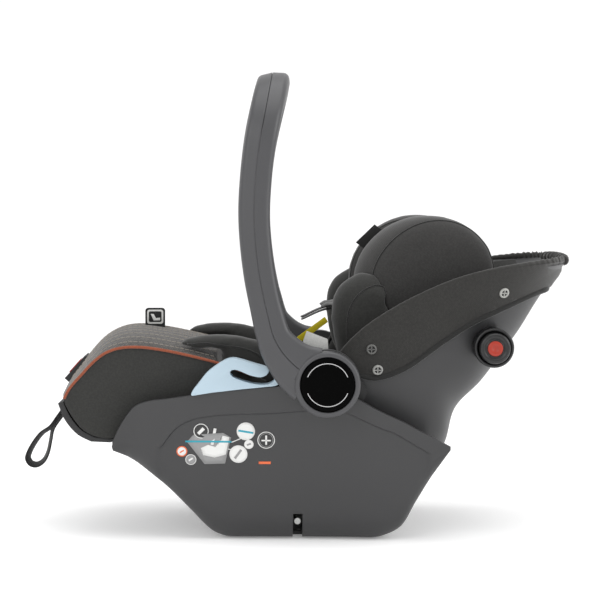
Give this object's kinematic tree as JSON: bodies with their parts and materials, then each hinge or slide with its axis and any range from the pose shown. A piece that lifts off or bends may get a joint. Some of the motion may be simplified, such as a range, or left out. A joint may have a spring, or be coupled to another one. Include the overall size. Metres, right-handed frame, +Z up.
{
  "type": "infant car seat",
  "caption": "Rear-facing infant carrier seat with a turning carry handle, reclining bucket, sliding leg rest and headrest, and a buckled harness.",
  "frame": {"origin": "on the floor, on the middle plane, straight under the handle's turning axis", "axes": "+Z up, +X from the feet towards the head, +Y across the seat towards the occupant's right"},
  "size_m": [0.6991, 0.4368, 0.5822],
  "materials": {
    "shell_grey": "charcoal-grey moulded polypropylene, fine spark-eroded grain",
    "handle_grey": "charcoal-grey moulded polypropylene, satin",
    "black_gloss": "gloss black ABS",
    "black_plastic": "black moulded plastic, fine grain",
    "guide_blue": "light blue moulded plastic",
    "signal_red": "red ABS push keys",
    "pod_orange": "orange moulded plastic disc",
    "steel": "bright zinc-plated steel",
    "snap_grey": "light grey acetal snap fasteners",
    "cover_fabric": "dark olive-grey woven polyester cover, elastic edge",
    "cushion_fabric": "charcoal brushed polyester over foam",
    "knit_fabric": "heathered brown-grey knit over foam, terracotta piping",
    "webbing": "black polyester webbing"
  },
  "bodies": {
    "base": {"base_shell": "shell_grey", "anchor_bar": "steel", "seat_pan": "black_plastic", "seat_cushion": "cushion_fabric", "pivot_boss_left": "shell_grey", "pivot_boss_right": "shell_grey", "handle_axle_left": "steel", "handle_axle_right": "steel", "belt_guide_left": "guide_blue", "belt_guide_right": "guide_blue", "recline_axle_left": "steel", "recline_axle_right": "steel", "thigh_bolster_left": "cushion_fabric", "thigh_bolster_right": "cushion_fabric"},
    "handle": {"handle_front_shell": "handle_grey", "handle_rear_shell": "handle_grey", "handle_hub_left": "handle_grey", "handle_hub_right": "handle_grey"},
    "handle_button_left": {"handle_button_left": "black_gloss"},
    "handle_button_right": {"handle_button_right": "black_gloss"},
    "backrest": {"backrest_shell": "shell_grey", "backrest_cover": "cover_fabric", "backrest_cushion": "cushion_fabric", "crotch_strap": "webbing", "buckle_body": "black_plastic", "recline_arm_left": "black_plastic", "recline_arm_right": "black_plastic", "pod_socket_left": "black_plastic", "pod_socket_right": "black_plastic", "side_bolster_left": "cushion_fabric", "side_bolster_right": "cushion_fabric", "buckle_tongue_left": "black_plastic", "buckle_tongue_right": "black_plastic", "shoulder_strap_left": "webbing", "shoulder_strap_right": "webbing", "shoulder_pad_left": "cushion_fabric", "shoulder_pad_right": "cushion_fabric", "snap_left_1": "snap_grey", "snap_left_2": "snap_grey", "snap_left_3": "snap_grey", "snap_right_1": "snap_grey", "snap_right_2": "snap_grey", "snap_right_3": "snap_grey"},
    "headrest": {"headrest_board": "black_plastic", "headrest_grip": "black_plastic", "headrest_cushion": "cushion_fabric", "headrest_wing_left": "cushion_fabric", "headrest_wing_right": "cushion_fabric"},
    "impact_pod_left": {"impact_pod_left": "black_gloss", "pod_cap_left": "pod_orange"},
    "impact_pod_right": {"impact_pod_right": "black_gloss", "pod_cap_right": "pod_orange"},
    "buckle_key": {"buckle_key": "signal_red"},
    "release_lever": {"release_lever": "black_plastic"},
    "legrest": {"legrest_tray": "black_plastic", "legrest_cushion": "knit_fabric", "harness_adjuster": "black_plastic", "pull_loop": "webbing"},
    "adjuster_key": {"adjuster_key": "signal_red"}
  },
  "joints": [
    {"name": "handle_turn", "type": "hinge", "parent": "base", "child": "handle", "pos_m": [0, 0, 0.201], "axis": [0, 1, 0], "range_deg": [-35, 112]},
    {"name": "handle_button_left_press", "type": "slide", "parent": "handle", "child": "handle_button_left", "axis": [0, 1, 0], "range_m": [0, 0.0045], "stiffness_N_per_m": 500, "springref_m": -0.001},
    {"name": "handle_button_right_press", "type": "slide", "parent": "handle", "child": "handle_button_right", "axis": [0, -1, 0], "range_m": [0, 0.0045], "stiffness_N_per_m": 500, "springref_m": -0.001},
    {"name": "recline", "type": "hinge", "parent": "base", "child": "backrest", "pos_m": [-0.029, 0, 0.189], "axis": [0, 1, 0], "range_deg": [0, 12]},
    {"name": "legrest_run_out", "type": "hinge", "parent": "base", "child": "legrest", "pos_m": [-0.209, 0, -0.064], "axis": [0, 1, 0], "range_deg": [-10, 0]},
    {"name": "headrest_slide", "type": "slide", "parent": "backrest", "child": "headrest", "axis": [0.766, 0, 0.6428], "range_m": [0, 0.06]},
    {"name": "impact_pod_left_slide", "type": "slide", "parent": "backrest", "child": "impact_pod_left", "axis": [0, 1, 0], "range_m": [0, 0.012]},
    {"name": "impact_pod_right_slide", "type": "slide", "parent": "backrest", "child": "impact_pod_right", "axis": [0, -1, 0], "range_m": [0, 0.012]},
    {"name": "buckle_press", "type": "slide", "parent": "backrest", "child": "buckle_key", "axis": [0.9511, 0, -0.309], "range_m": [0, 0.002], "stiffness_N_per_m": 600, "springref_m": -0.001},
    {"name": "release_lever_pull", "type": "hinge", "parent": "backrest", "child": "release_lever", "pos_m": [0.26123, 0, 0.28911], "axis": [0, -1, 0], "range_deg": [0, 20], "stiffness_Nm_per_rad": 0.6, "springref_deg": -5.73},
    {"name": "adjuster_press", "type": "slide", "parent": "legrest", "child": "adjuster_key", "axis": [0.7431, 0, -0.6691], "range_m": [0, 0.003], "stiffness_N_per_m": 600, "springref_m": -0.001}
  ],
  "couplings": [
    {"joint": "legrest_run_out", "follows": "recline", "ratio": -0.8}
  ]
}
